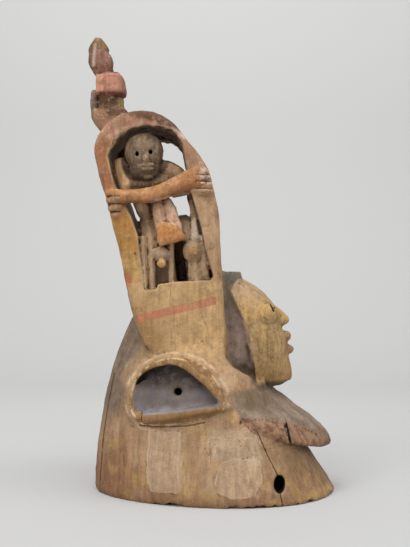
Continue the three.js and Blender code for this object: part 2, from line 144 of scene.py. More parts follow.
# The big face's bulging eyes, each between an upper and a lower lid
for ring, size in (([(53.5, 210), (56.5, 202.5), (63, 197.5), (70, 198.5), (74.5, 203)], 1.5),
                   ([(54.5, 214), (58.5, 219.5), (64.5, 221.5), (69, 219.5)], 1.3)):
    arc = [(x, side_of_mask(x, z) + 0.1, z) for x, z in ring]
    add_roll(arc, [size * 0.6] + [size] * (len(ring) - 2) + [size * 0.6], steps=4, both_sides=True)
add_lump((64, side_of_mask(64, 208) + 2.6, 208.5), (9, 5.2, 10), turn=0.5, both_sides=True)

# The seated figure's eyes are pierced pits between thin lids
PITS = [(-84.7, 388.2), (-69.7, 390.5)]
for pit_x, pit_z in PITS:
    for up in (1, -1):
        arc = []
        for across, rise in ((-4.8, -0.3), (0, 3.9), (4.8, 0.3)):
            at_x, at_z = pit_x + across, pit_z + up * rise
            arc.append((at_x, side_of_mask(at_x, at_z) + 0.3, at_z))
        add_roll(arc, [0.7, 1.2, 0.7], steps=4)
BROW = [(-93, 393), (-86, 396.5), (-77.5, 395.5), (-69, 398.5), (-61, 397)]
add_roll([(x, side_of_mask(x, z) + 0.8, z) for x, z in BROW], [1.2, 2.2, 1.8, 2.2, 1.2], steps=3)
# Its nose, lips, chin and long jaw, and the shoulder that meets the jaw behind
add_lump((-75, -61.5, 383), (4, 4.2, 4.8))
add_lump((-72.6, -59.2, 376.3), (8.5, 3.6, 2.3))
add_lump((-72.2, -58.6, 371.8), (7.4, 3.6, 2.5))
add_lump((-74, -54, 363.5), (8, 5, 4))
add_lump((-76.5, -42, 372), (18, 17, 15.5))
add_lump((-87, -44, 370), (7, 6, 8))
# Wood left standing beside its body, and a flat flake on its right knee
add_roll([(-46, -42, 343), (-24, -42, 347.5)], [4, 4])
add_roll([(-24, -40, 347), (-21, -40, 316)], [3.5, 3.5])
add_lump((-19, -42, 302), (7.5, 4, 11))

mesh = bpy.data.meshes.new("carved")
clay.to_mesh(mesh)
clay.free()
mask = bpy.data.objects.new("carved_mask", mesh)
bpy.context.collection.objects.link(mask)


def settled(thing):
    """Turns the object's modifiers into plain mesh."""
    seen = thing.evaluated_get(bpy.context.evaluated_depsgraph_get())
    plain = bpy.data.meshes.new_from_object(seen)
    thing.modifiers.clear()
    thing.data = plain


remesh = mask.modifiers.new("one skin", "REMESH")
remesh.mode = "VOXEL"
remesh.voxel_size = VOXEL
settled(mask)


def read(thing, what):
    """The corners' places in millimetres, or their directions."""
    flat = np.empty(len(thing.data.vertices) * 3, np.float32)
    thing.data.vertices.foreach_get(what, flat)
    return flat.reshape(-1, 3).astype(float) / (MM if what == "co" else 1)


def put(thing, where):
    """Moves the corners to places in millimetres."""
    thing.data.vertices.foreach_set("co", (where * MM).astype(np.float32).ravel())
    thing.data.update()


def links(thing):
    """The corners at the two ends of every edge, each edge both ways round."""
    flat = np.empty(len(thing.data.edges) * 2, np.int32)
    thing.data.edges.foreach_get("vertices", flat)
    pairs = flat.reshape(-1, 2)
    return np.concatenate([pairs[:, 0], pairs[:, 1]]), np.concatenate([pairs[:, 1], pairs[:, 0]])


def softened(values, ends, rounds, strength=0.5):
    """Each corner's values moved towards the mean of its neighbours', some rounds over."""
    here, there = ends
    count = np.maximum(np.bincount(here, minlength=len(values)), 1)
    values = values.reshape(len(values), -1).copy()
    weight = np.broadcast_to(np.asarray(strength, float).reshape(-1, 1), (len(values), 1))
    for _ in range(rounds):
        for k in range(values.shape[1]):
            mean = np.bincount(here, values[there, k], len(values)) / count
            values[:, k] += (mean - values[:, k]) * weight[:, 0]
    return values


def step(low, high, value):
    """0 below low, 1 above high, smooth between. Low may be the higher number."""
    t = np.clip((value - low) / (high - low), 0, 1)
    return t * t * (3 - 2 * t)


def waves(p, size, seed):
    """Smooth unevenness from -1 to 1 with bumps of about the given size in millimetres."""
    dice = np.random.default_rng(seed)
    total = np.zeros(len(p))
    for _ in range(WAVES):
        way = dice.normal(size=3)
        way /= np.linalg.norm(way)
        turns = 2 * math.pi / (size * dice.uniform(0.7, 1.5))
        total += np.sin(p @ way * turns + dice.uniform(0, 2 * math.pi))
    return np.clip(total / math.sqrt(WAVES) * 0.8, -1, 1)


def within(x, z, outline):
    """How far inside an outline of the side view each place lies, in millimetres. Outside is below 0."""
    inside = np.zeros(len(x), bool)
    nearest = np.full(len(x), 1e9)
    for (x0, z0), (x1, z1) in zip(outline, outline[1:] + outline[:1]):
        dx, dz = x1 - x0, z1 - z0
        t = np.clip(((x - x0) * dx + (z - z0) * dz) / (dx * dx + dz * dz), 0, 1)
        nearest = np.minimum(nearest, np.hypot(x - x0 - t * dx, z - z0 - t * dz))
        if dz:
            inside ^= ((z0 > z) != (z1 > z)) & (x < x0 + (z - z0) * dx / dz)
    return np.where(inside, nearest, -nearest)


def beside(x, z, line):
    """Signed distance from a line of the side view, over 0 to its left as it runs."""
    nearest = np.full(len(x), 1e9)
    signed = np.zeros(len(x))
    for (x0, z0), (x1, z1) in zip(line, line[1:]):
        dx, dz = x1 - x0, z1 - z0
        t = np.clip(((x - x0) * dx + (z - z0) * dz) / (dx * dx + dz * dz), 0, 1)
        away = np.hypot(x - x0 - t * dx, z - z0 - t * dz)
        side = np.sign(dx * (z - z0) - dz * (x - x0))
        closer = away < nearest
        nearest = np.where(closer, away, nearest)
        signed = np.where(closer, away * np.where(side == 0, 1, side), signed)
    return signed


# Outlines of the side view, in millimetres
NICHE = [(-78, 234), (-82, 268), (-88, 306), (-101, 332), (-111, 354), (-119, 382), (-117.5, 394),
         (-106, 410), (-85, 419), (-66, 420.5), (-46, 416), (-34, 402), (-28, 372), (-22, 340),
         (-13, 310), (-5, 272), (2, 248), (-12, 245), (-58, 242), (-64, 235)]
PATCHES = [[(-71, 80), (-34, 81), (-33, 20), (-37, 15), (-52, 12.5), (-66, 15), (-72, 24)],
           [(10, 50), (24, 54), (50, 50), (55, 41), (53, 26), (46, 14), (22, 10), (6, 15), (2, 30), (4, 42)]]
FRONT_CRACK = [(49, 80.4), (60, 55), (72, 31), (74, 12), (76.5, -2)]
BACK_CRACK = [(-113, 138.4), (-120, 100), (-125.4, 65), (-128.8, 14.2)]
VISOR_BREAK = [(36, 94), (62, 92), (96, 82), (118, 70)]
BROKEN_EDGE = [(30, 95), (62, 92), (96, 82), (118, 70), (142, 58), (144, 46), (122, 51), (99, 59), (83, 62),
               (69, 67), (54, 73), (40, 81)]
NOTCH = [(83.5, 84), (87, 66)]
# Each gap between two fingers has a height, and runs from one place to another along X
FINGER_GAPS = [(368.5 - 7.8 * (i + 0.5), -20, 3) for i in range(3)]
FINGER_GAPS += [(344.8 - 8.9 * (i + 0.5), -126, -101) for i in range(3)]
SLIT = [(68, 216.7), (69.6, 212.8), (71.5, 209.5)]
CREST_BACK = [(-56, 120), (-64, 140), (-84, 189), (-91, 208), (-106, 280), (-123, 347), (-136, 400)]

p = read(mask, "co")
ends = links(mask)
x, y, z = p.T
# The helmet, the hollow, the visor and the crest's faces are broad, smooth carving
# The figures are small and crisp
in_niche = step(-4, -1, within(x, z, NICHE)) * step(-80, -70, -np.abs(y))
fingers = step(14, 10, np.minimum(np.hypot(x + 112, z - 331), np.hypot(x + 8, z - 357))) * step(-48, -52, y)
on_top = step(438, 444, z)
on_face = step(14, 22, x) * step(120, 126, z) * step(62, 56, np.abs(y))
crisp = np.clip(np.maximum.reduce([in_niche, on_top, on_face, fingers]), 0, 1)
pits = np.min([np.hypot(x - pit_x, z - pit_z) for pit_x, pit_z in PITS], axis=0)
pits = step(7, 5, pits) * (y < -48) * (y > -75)
p = softened(p, ends, 1)
p = softened(p, ends, 3, 0.5 * (1 - fingers) * (1 - pits))
p = softened(p, ends, 28, 0.5 * (1 - crisp))
put(mask, p)


def flats(p, n, count, seed, reach):
    """How far each place lies from the flat left by the nearest cut of the blade."""
    seeds = np.random.default_rng(seed).choice(len(p), count, replace=False)
    tree = KDTree(count)
    for i, place in enumerate(p[seeds]):
        tree.insert(place, i)
    tree.balance()
    owner = seeds[[tree.find(place)[1] for place in p]]
    flat = np.einsum("ij,ij->i", p[owner] - p, n[owner])
    return np.clip(flat, -reach, reach) * (np.einsum("ij,ij->i", n, n[owner]) > 0.8)


# Cuts of the adze and, on the figures, of a knife leave shallow flats, and nothing is quite even
n = read(mask, "normal")
x, y, z = p.T
adze = softened(flats(p, n, 2600, 7, 0.9), ends, 2)[:, 0]
knife = softened(flats(p, n, 9000, 8, 0.6), ends, 1)[:, 0]
eye_shape = eye_outline(0, 24)
eye_shape[-1] = (eye_shape[-1][0] - 9 * math.sin(EYE_TILT), eye_shape[-1][1] + 9 * math.cos(EYE_TILT))
eye_shape.append((EYE_X - 39.5 * math.cos(EYE_TILT), EYE_Z - 39.5 * math.sin(EYE_TILT)))
in_eye = step(-1, 3, within(x, z, eye_shape)) * (np.abs(y) > 50)
lift = 0.55 * adze * (1 - 0.7 * crisp) + 0.75 * knife * crisp
lift += 0.35 * waves(p, 34, 1) * (1 - crisp) + 0.16 * waves(p, 11, 2) + 0.1 * waves(p, 5, 3)
lift *= 1 - 0.85 * in_eye
near = y < 0
side = np.abs(y) > 45


def in_patch(k):
    """How far inside a raised patch's ragged outline each place of the side view lies."""
    ragged = 1.3 * waves(p, 16, 20 + k) + 0.9 * waves(p, 6, 30 + k)
    return within(x + ragged, z + ragged, PATCHES[k])


# Two raised patches, where the helmet's side was cut back round them
for k in range(len(PATCHES)):
    d = in_patch(k)
    lift += (0.45 * step(-1.2, 1.2, d) + 0.25 * step(5, 0, d) * step(-1.2, 0.6, d)) * side * near
# The cracks from the visor down through the hole to the rim, and down the back
for line, width, deep in ((FRONT_CRACK, 0.8, 0.9), (BACK_CRACK, 1.1, 1.2)):
    d = np.abs(beside(x + 0.8 * waves(p, 18, 40), z, line))
    lift -= deep * step(width * 1.5, 0, d) * side * near * (z < 130)
# The gaps between the fingers
for height, low, high in FINGER_GAPS:
    gap = step(1.3, 0.1, np.abs(z - height)) * step(low, low + 3, x) * step(high, high - 3, x)
    lift -= gap * (y < -48)


def front_slits(width):
    """The narrow slits of the big face's eyes as they run across its front."""
    slit = step(width, width - 1, np.abs(z - 214.5 + 0.08 * np.abs(y)))
    return slit * step(12, 14, np.abs(y)) * step(33, 31, np.abs(y)) * (x > 60)


# The slits are cut in, and turn down at the outer corners
lift -= 1.8 * front_slits(1.5)
at_corner = (z > 208.5) & (z < 217.5) & (np.abs(y) < 60) & (x > 60)
lift -= 2.6 * step(1.8, 0.3, np.abs(beside(x, z, SLIT))) * at_corner
# The visor's edge is broken, with one deep notch
d = beside(x, z, VISOR_BREAK) + 1.2 * waves(p, 9, 50) + 0.8 * waves(p, 4, 52)
edge = (x > 30) * (x < 124) * step(48, 54, z) * (z < 98) * (n[:, 2] > -0.55) * near
edge *= (np.abs(y) > 12) * (np.abs(y) < 110)
lift -= 0.9 * step(0.8, -0.8, d) * edge * step(16, 8, -d)
lift -= 0.5 * np.abs(waves(p, 6, 53)) * step(0.8, -0.8, d) * edge
notch = np.abs(beside(x, z, NOTCH) + 0.8 * waves(p, 5, 51))
lift -= 3.4 * step(2.4, 0.4, notch) * step(60, 64, z) * (y < -20) * (z < 90)
# The arch's underside is roughly broken out
soffit = step(-3, 0, within(x, z, NICHE)) * step(392, 400, z) * step(424, 420, z) * (np.abs(y) < 57)
soffit *= step(0.2, -0.2, n[:, 2])
lift += 1.3 * waves(p * (1, 0.6, 1), 8, 54) * soffit
# The rim is worn and chipped
worn = np.clip(waves(p * (1, 1, 0.2), 30, 60) + 0.5 * waves(p, 9, 61) + 0.1, 0, 1)
p = p + n * lift[:, None]
p[:, 2] += 3.2 * worn * step(7, 0, p[:, 2])
p[:, 2] = np.maximum(p[:, 2], 0)
put(mask, p)

# The hollow inside is plain and needs few faces
from_middle = np.stack([p[:, 0] - HOLLOW_X, p[:, 1]], 1)
inwards = np.einsum("ij,ij->i", from_middle, n[:, :2]) < -0.2 * np.linalg.norm(from_middle, axis=1)


def thinned(weights, most):
    """Joins faces until at most so many triangles are left, the sooner the heavier their corners weigh."""
    mask.vertex_groups.clear()
    group = mask.vertex_groups.new(name="plain")
    for weight in np.unique(weights[weights > 0]):
        group.add(np.flatnonzero(weights == weight).tolist(), float(weight), "REPLACE")
    thin = mask.modifiers.new("fewer faces", "DECIMATE")
    thin.vertex_group = "plain"
    thin.vertex_group_factor = 4
    thin.ratio = min(1.0, most / sum(len(face.vertices) - 2 for face in mask.data.polygons))
    thin.use_collapse_triangulate = True
    settled(mask)
    mask.vertex_groups.clear()
    mask.data.polygons.foreach_set("use_smooth", [True] * len(mask.data.polygons))
    mask.data.update()


thinned((inwards & (p[:, 2] < 150)).astype(float), ROUGH_TRIANGLES)

# Where the paint lies. Each corner gets a colour, and fields in millimetres that the wood's nodes sharpen
p = read(mask, "co")
n = read(mask, "normal")
ends = links(mask)
x, y, z = p.T
near = step(3, -3, y)
outer = np.abs(y)
fine = softened(p, ends, 5)
broad = softened(p, ends, 40)
hollow_small = np.einsum("ij,ij->i", fine - p, n)
hollow_large = np.einsum("ij,ij->i", broad - p, n)
blotch = waves(p, 28, 70)
blotch_small = waves(p, 10, 71)

# The hollow's walls are the places that face its middle, or that have more wood just outside them
corners = [tuple(place * MM) for place in p]
tree = BVHTree.FromPolygons(corners, [tuple(face.vertices) for face in mask.data.polygons])
low = (z < 172) & (np.abs(n[:, 2]) < 0.999)
away = np.stack([x - HOLLOW_X, y, np.zeros(len(x))], 1)
away /= np.maximum(np.linalg.norm(away, axis=1), 1e-6)[:, None]
inner = np.zeros(len(x))
for i in np.flatnonzero(low & (np.einsum("ij,ij->i", n, away) < 0.25)):
    start = Vector((p[i] + away[i] * 3 + n[i] * 1.5) * MM)
    inner[i] = tree.ray_cast(start, Vector(away[i]))[0] is not None
inner[(z > 60) & (n[:, 2] < -0.3) & (np.hypot(x + 30, y) < 75) & (z < 172)] = 1
inner = softened(inner, ends, 3)[:, 0]


def shade(red, green, blue):
    """A colour as seen, from 0 to 255, as the amount of light it returns."""
    return np.array([((c / 255 + 0.055) / 1.055) ** 2.4 for c in (red, green, blue)])


BARE_WOOD = (168, 136, 104)
coat = np.tile(shade(*BARE_WOOD), (len(x), 1))


def lay(colour, amount):
    """Puts a coat of colour over what is there, as thick as the amount says at each place."""
    coat[:] = coat + (shade(*colour) - coat) * np.clip(amount, 0, 1)[:, None]


# The helmet's wood is tan, warmer and darker at the lower back and along the rim
fleck = waves(p, 5, 76)
lay((176, 148, 116), step(0.1, 0.9, blotch) * 0.7)
lay((150, 118, 84), step(0.0, -0.9, blotch) * 0.6)
lay((140, 104, 76), step(-60, -110, x + 6 * blotch) * step(110, 40, z + 8 * blotch) * 0.85)
lay((134, 92, 66), step(-85, -112, x) * step(50, 20, z + 6 * blotch_small) * 0.7)
lay((132, 98, 70), step(16, 6, z + 3 * blotch_small) * 0.7)
lay((140, 110, 80), step(66, 92, x + 4 * blotch_small) * step(75, 55, z) * 0.85)
lay((172, 136, 92), step(13, 9, z + 2 * blotch_small) * step(96, 108, x) * 0.8)
# Grey-violet over the upper back
BACK_PAINT = [(-122, 20), (-112, 75), (-97, 125), (-76, 160), (-70, 225)]
back_line = beside(x + 4 * blotch, z + 4 * blotch_small, BACK_PAINT)
upper_back = step(-6, 8, back_line) * step(60, 105, z + 8 * blotch)
lay((114, 98, 84), upper_back * 0.9)
lay((142, 131, 114), upper_back * step(0.2, 0.8, waves(p, 14, 72)) * step(120, 150, z) * 0.5)
lay((112, 90, 70), upper_back * step(0.3, 0.9, waves(p, 20, 77)) * 0.5)
# The brow over the eye, with a painted highlight along its upward-facing ridge, and the cheek before it
BROW_HIGHLIGHT = [(-95, 140), (-60, 168), (-20, 170), (10, 150)]
brow_highlight_line = np.abs(beside(x, z, BROW_HIGHLIGHT))
lay((168, 136, 98), step(18, 8, brow_highlight_line) * (outer > 40) * 0.45)
lay((176, 142, 88), step(0.1, 0.7, waves(p, 21, 91)) * step(112, 96, z) * (outer > 45) * 0.45)
lay((150, 106, 80), step(0.2, 0.8, waves(p, 17, 92)) * step(62, 40, z) * (outer > 45) * 0.45)
# The panel, the posts and the arch of the crest
on_crest = step(146, 172, z + 4 * blotch_small) * step(447, 440, z) * step(22, 18, x)
on_crest *= step(-0.5, 1.5, -beside(x, z, CREST_BACK)) * (z > 130)
rise = z + 8 * blotch + 3 * fleck
left_post = on_crest * step(-58, -66, x)
right_post = on_crest * step(-52, -42, x) * step(240, 250, z)
lay((184, 150, 106), on_crest)
lay((146, 112, 72), on_crest * step(-50, -78, x + 0.22 * (z - 200)) * step(232, 205, z) * 0.8)
for colour, low, high in (((176, 140, 88), 238, 250), ((172, 126, 70), 268, 285), ((148, 102, 70), 322, 345)):
    lay(colour, left_post * step(low, high, rise))
lay((160, 104, 66), left_post * step(345, 352, rise) * step(0, 0.6, blotch_small) * 0.8)
lay((164, 130, 96), right_post)
lay((184, 150, 118), right_post * step(270, 300, rise) * 0.9)
lay((156, 124, 96), right_post * step(366, 376, rise) * 0.9)
lay((164, 120, 94), on_crest * step(388, 404, rise + 0.1 * (x + 60)))
rubbed = step(398, 412, z) * step(0, 0.6, waves(p, 13, 73)) * step(-125, -100, x)
lay((178, 136, 116), on_crest * rubbed * 0.8)
lay((186, 154, 132), on_crest * step(392, 404, z) * step(0.1, 0.6, waves(p, 9, 78)) * 0.6)
scuffed = step(-62, -40, x) * step(0, 0.5, waves(p, 8, 74)) * step(34, 48, outer)
lay((208, 190, 172), on_crest * step(398, 408, z) * scuffed * 0.75)
arch_back = step(366, 402, z + 12 * blotch) * step(447, 440, z) * step(-60, -90, x) * step(57, 54, outer)
lay((162, 120, 92), arch_back * 0.85)
lay((142, 108, 84), on_crest * step(416, 422, z) * step(-94, -100, x) * 0.8)
red_spot = step(9, 3, np.hypot(x + 97, (z - 246) * 0.7)) * near * step(46, 54, outer)
lay((164, 72, 52), red_spot * 0.6)
# Inside the arch
niche = step(-0.5, 1, within(x, z, NICHE)) * step(60, 56, outer) * step(228, 236, z)
lay((170, 141, 110), niche)
lay((160, 130, 98), niche * step(-22, 6, y) * 0.6)
at_edge = step(6, 4, np.abs(within(x, z, NICHE))) * step(60, 56, outer) * (z > 232) * (z < 425)
inner_wall = at_edge * step(0.2, 0.5, n[:, 0]) * (x < -58)
soffit = at_edge * step(-0.2, -0.5, n[:, 2]) * (z > 380)
lay((150, 118, 84), inner_wall)
# Painted light: the left post's inner wall is lighter near its front, where light reaches it
lay((208, 178, 138), inner_wall * step(-42, -49, y))
lay((126, 100, 76), at_edge * step(-0.2, -0.5, n[:, 0]) * (x > -30))
# Painted shade: the arch's underside, where it faces down, is darker
lay((108, 80, 58), soffit * step(-110, -90, x))
# Painted shade on the wall behind the seated figure's head
shade_behind_head = step(378, 386, z) * step(404, 398, z) * step(-96, -100, x) * step(-48, -42, y)
lay((112, 86, 60), niche * shade_behind_head)
# The seated figure
ARM_LINE = [(-112, 338), (-99, 340), (-70, 341.5), (-50, 348), (-30, 357), (-14, 362)]
arm = step(12, 10, np.abs(beside(x, z, ARM_LINE))) * step(-50, -55, y) * step(-126, -122, x) * step(6, 2, x)
skull = np.sqrt((x + 77) ** 2 + (y + 40) ** 2 + ((z - 385) * 0.85) ** 2)
head = step(29, 26, skull) * step(356, 360, z) * (outer < 75)
# Painted shade: the chest and neck under the head are darker, for the shadow of the head and chin
lay((100, 78, 58), niche * step(374, 368, z) * step(345, 350, z) * step(-22, -30, y) * 0.95)
lay((138, 112, 86), niche * step(-62, -56, x) * step(352, 358, z) * step(-22, -30, y) * 0.8)
LEFT_ARM_LINE = [(-108, 388), (-101, 366), (-94, 348)]
left_arm = step(12, 9, np.abs(beside(x, z, LEFT_ARM_LINE))) * step(345, 350, z)
lay((222, 182, 138), left_arm * niche * step(-92, -98, x) * step(-16, -24, y) * step(392, 384, z))
lay((128, 107, 88), head)
lay((88, 70, 54), head * step(0.1, 0.7, waves(p, 7, 79)) * 0.6)
lay((152, 130, 102), head * step(-0.1, -0.7, waves(p, 5, 80)) * 0.6)
lay((72, 56, 42), head * step(0.2, 0.8, waves(p, 4, 85)) * 0.5)
lay((82, 64, 50), head * step(376, 368, z - 0.3 * np.abs(x + 75)) * 0.8)
to_pit = np.min([np.hypot(1.1 * (x - pit_x), (z - pit_z) * 0.74) for pit_x, pit_z in PITS], axis=0)
lay((136, 116, 98), head * step(6, 4.6, to_pit) * step(-52, -54, y) * 0.35)
# A painted highlight on the tip of the nose
lay((164, 140, 112), step(3, 1, np.hypot(x + 75, (z - 383.5) * 0.7)) * step(-63, -66, y) * 0.5)
MOUTH_X, MOUTH_Z = -72.4, 374
across, up = np.abs(x - MOUTH_X), np.abs(z - MOUTH_Z)
# A painted highlight on the lips, and painted shade in the line between them
lay((156, 132, 104), step(9, 6, across) * step(4.5, 2.5, up) * step(-58, -61, y) * 0.7)
lay((44, 32, 25), step(8, 6, across) * step(1.2, 0.4, up) * step(-54, -57, y) * 0.9)
# Painted shadow under the chin
lay((52, 38, 29), head * step(366, 361, z) * step(-58, -52, y) * 0.7)
lay((174, 124, 82), arm)
lay((186, 144, 104), arm * step(0.1, 0.7, waves(p, 8, 81)) * 0.6)
lay((168, 118, 76), arm * step(-36, -26, x) * step(-4, -12, x))
# Painted shade along the arm's lower edge
lay((136, 90, 54), arm * step(-2, -7, beside(x, z, ARM_LINE)) * 0.7)
white = step(15, 12, np.hypot(x + 4, z - 362)) * step(-56, -60, y) * step(-16, -12, x) * step(349, 353, z)
lay((206, 194, 178), white * step(-0.3, 0.3, fleck + 0.03 * (z - 360)) * 0.85)
lay((150, 116, 84), step(15, 12, np.hypot(x + 111, z - 329)) * step(-57, -60, y) * step(-100, -103, x) * 0.8)
TORSO = [(-70, 338), (-43, 340), (-28, 300), (-60, 290)]
torso = step(-1, 2, within(x, z, TORSO)) * step(-42, -48, y)
lay((184, 146, 118), torso)
lay((202, 170, 144), torso * step(-52, -46, x + 0.2 * (z - 320)))
lay((182, 118, 92), torso * step(0.2, 0.7, waves(p, 8, 82)) * 0.6)
APRON = [(-61, 308), (-53, 311), (-40, 307), (-29, 296), (-29, 289), (-60, 282)]
apron = step(-1, 1, within(x, z, APRON)) * step(-48, -54, y)
lay((178, 120, 70), apron)
lay((192, 150, 98), apron * step(0, 0.7, fleck) * 0.6)
lay((154, 130, 108), step(11, 8, np.hypot(x + 58, (z - 275) * 1.3)) * step(-40, -46, y) * 0.9)
lay((158, 130, 100), step(15, 11, np.hypot(x + 21, z - 280)) * step(-40, -46, y) * 0.9)
NUBS = [(-57, 264.5), (-21.5, 276)]
to_nubs = [np.hypot(x - nub_x, z - nub_z) for nub_x, nub_z in NUBS]
lay((186, 146, 92), step(7, 5, np.minimum(*to_nubs)) * step(-56, -59, y))
lay((150, 112, 72), step(7, 5, to_nubs[1]) * step(-56, -59, y))
KNEE_FLAKE = [(-26, 312), (-15, 315), (-11, 291), (-24, 291)]
lay((188, 168, 148), step(-0.5, 1, within(x, z, KNEE_FLAKE)) * (y < -38) * (outer < 62))
lay((160, 134, 110), niche * step(262, 256, z) * step(-70, -66, x) * step(-46, -50, x) * 0.8)
# The slot between the legs is painted near-black, as painted shade deep in it
SLOT = [(-45, 290), (-30, 290), (-26, 236), (-36, 236)]
shaded_slot = step(-1, 1, within(x, z, SLOT))
lay((18, 13, 10), shaded_slot * (y > -40) * (y < 20) * niche)
# The hair and its crown, then the face
FACE_EDGE = [(118, 51), (133, 50.5), (153.7, 48.2), (176.7, 43.7), (199.6, 36.8), (222.6, 26.4), (234, 21.8)]
FACE_EDGE += [(243, 26.4), (247, 30), (252, 45)]
face = x - np.interp(z, *zip(*FACE_EDGE))
block = step(17, 19, x) * step(64, 53, outer + 4 * blotch_small) * step(117, 127, z + 4 * blotch_small)
hair_zone = np.clip(block + (outer < 46) * step(10, 13, x) * step(180, 190, z), 0, 1) * (z < 262) * (z > 122)
hair_zone *= 1 - step(58, 62, x) * step(150, 140, z)
hair_zone *= 1 - step(2, 4, face) * step(248, 246, z)
lay((146, 126, 114), hair_zone)
lay((130, 114, 96), hair_zone * step(208, 222, z + 3 * fleck))
lay((72, 58, 44), hair_zone * step(156, 142, z + 4 * blotch_small))
lay((100, 82, 66), hair_zone * step(0.3, 0.8, waves(p, 12, 83)) * 0.5)
crown = step(238, 241, z + fleck) * step(262, 256, z) * step(4, 9, x) * step(50, 45, x)
lay((116, 106, 96), crown * (outer < 45))
# Painted shade in the creases round the big face's eyes and in its eye slits
CREASES = [[(54.3, 202.8), (58.3, 196.5), (65.8, 194.8), (72.7, 197.1), (77.3, 200.5)],
           [(53, 211), (57, 202.5), (64, 199), (71, 202.5)],
           [(55.4, 220.5), (60, 221.5), (67, 218.6), (70.4, 213.2)]]
crease_shade = front_slits(1.6)
for crease in CREASES:
    crease_line = np.abs(beside(x, z, crease)) + 20 * ((x < crease[0][0]) | (x > crease[-1][0]))
    crease_shade = np.maximum(crease_shade, step(1.7, 0.5, crease_line) * (outer < 60) * (z > 190) * (z < 226))
lips = step(83, 86, x) * step(157, 160, z) * step(189, 186, z) * (outer < 60)
face_zone = step(-0.5, 1, face) * step(118, 122, z) * (outer < 60) * (z < 247.5)
# The visor
visor = step(46, 52, z) * step(0, 8, x - 34 + 0.25 * (z - 60)) * step(-9, 5, 118.5 - z + 5 * blotch_small)
visor *= step(112, 104, outer)
visor *= step(-4, 4, (x - 34) * 0.42 + z - 94 + 2 * blotch_small)
lay((144, 126, 110), visor * (n[:, 2] > -0.3))
lay((118, 96, 76), visor * step(-0.2, 0.6, blotch) * (n[:, 2] > -0.3) * 0.5)
lay((122, 102, 82), step(24, 8, np.hypot((x - 46) * 0.7, z - 116)) * step(126, 122, z) * 0.8)
# Painted shade: the visor's underside, where it faces down, is darker
lay((80, 62, 46), visor * step(-0.3, -0.6, n[:, 2]))
# Painted shadow of the visor on the helmet below its edge
visor_shadow = step(22, 6, 70 - 0.45 * (x - 40) - z) * (z < 74) * step(44, 60, x)
lay((120, 98, 74), visor_shadow * step(-0.2, 0.1, n[:, 0]) * 0.4)
# The small figure on top
top = step(436, 442, z + 2 * blotch_small + 0.3 * (x + 115))
lay((104, 76, 56), top)
lay((84, 60, 42), top * step(463, 460, z) * step(449, 453, z) * step(-108, -112, x) * 0.9)
lay((158, 136, 88), top * step(462, 458, z) * step(446, 451, z) * step(-112, -107, x) * 0.9)
lay((184, 130, 106), top * step(460, 464, z) * step(490, 486, z))
lay((152, 108, 90), top * step(460, 464, z) * step(490, 486, z) * step(-112, -107, x))
# Painted shadow along the lower edge of the small figure's chest
lay((104, 54, 44), top * step(461, 462.5, z) * step(467, 465, z) * 0.8)
# Painted shadow under the small figure's head
lay((112, 72, 58), top * step(486, 490, z) * step(502, 498, z) * 0.8)
lay((134, 98, 84), top * step(496, 501, z))
lay((126, 96, 64), top * step(514, 519, z + 2 * fleck))
PALE_RIDGE = [(-139, 498), (-137, 522)]
ridge = step(2.4, 0.8, np.abs(beside(x, z, PALE_RIDGE)))
lay((186, 166, 148), ridge * top * step(492, 498, z) * 0.8)
# Painted shade on the left-facing side of the small figure's head
lay((90, 66, 56), top * step(-140, -142.5, x) * step(490, 496, z) * 0.8)
lay((124, 104, 94), top * step(-135, -138, x) * step(476, 468, z))
# Bare wood inside the hollow
lay((104, 80, 56), inner)
lay((80, 60, 42), inner * step(60, 140, z) * 0.7)
lay((160, 126, 88), step(-0.6, -0.9, n[:, 2]) * step(3, 1, z) * 0.8)

# How blotchy the paint is, and how much of it has flaked
mottle = 0.35 + 0.65 * np.maximum.reduce([on_crest * step(232, 250, z) * step(412, 396, z), top, niche, arm])
mottle = np.maximum(mottle, 0.55 * on_crest)
mottle = np.where(inner > 0.5, 0.5, mottle) * (1 - 0.35 * visor) * (1 - 0.5 * niche)
# The darkening of hollows and creases, partly painted shade, is weaker inside the arch and on the hair
hollow_large *= 1 - 0.7 * niche
hollow_small = hollow_small * (1 - 0.75 * hair_zone * step(30, 34, outer)) * (1 - 0.4 * niche * (x > -20))
flaked = np.maximum(np.maximum(0.5 * on_crest * step(340, 380, z), top * 0.5), 0.35 * niche + 0.2 * on_crest)
flaked *= (1 - 0.9 * head) * (1 - 0.5 * step(0.3, 0.8, n[:, 2]))

# What a field says where its line or its area is out of reach
FAR, OUTSIDE = 60.0, -40.0
patch = np.full(len(x), OUTSIDE)
for k in range(len(PATCHES)):
    patch = np.maximum(patch, np.where(y < -60, in_patch(k), OUTSIDE))
broken_edge = (n[:, 2] > -0.75) & (y < -8) & (outer < 112)
LID_SHAPE = [(-93.4, 109), (-89, 131), (-78, 146.3), (-62.7, 156.1), (-46.3, 160), (-29.9, 158.8),
             (-13.5, 153.5), (-1.4, 144.5), (6.2, 133.5), (12.5, 124), (14, 110), (10.6, 100.3),
             (-24.4, 89.4), (-57.3, 85), (-78, 85), (-90.1, 98)]
LEDGE_TOP = [(-80, 96), (16, 110)]
LEDGE_FOOT = [(-80, 85), (-57.3, 84.6), (-24.4, 87.6), (-6, 92)]
HOLE_X, HOLE_Z, HOLE_HALF_WIDTH, HOLE_HALF_HEIGHT = 73, 23.5, 6, 9
hole = np.hypot((x - HOLE_X) / HOLE_HALF_WIDTH, (z - HOLE_Z) / HOLE_HALF_HEIGHT)
SCRATCHED = [(-6, 84), (50, 82), (56, 45), (-2, 52)]
BAND = [(-90, 200), (10, 224.4)]
on_panel = (outer > 40) & (z > 180) & (z < 240) & (x < 6)
to_band = beside(x, z, BAND) + FAR * (np.abs(n[:, 1]) < 0.6)
at_slit = (outer < 60) & (x > 60) & (z > 208.5) & (z < 217.5)
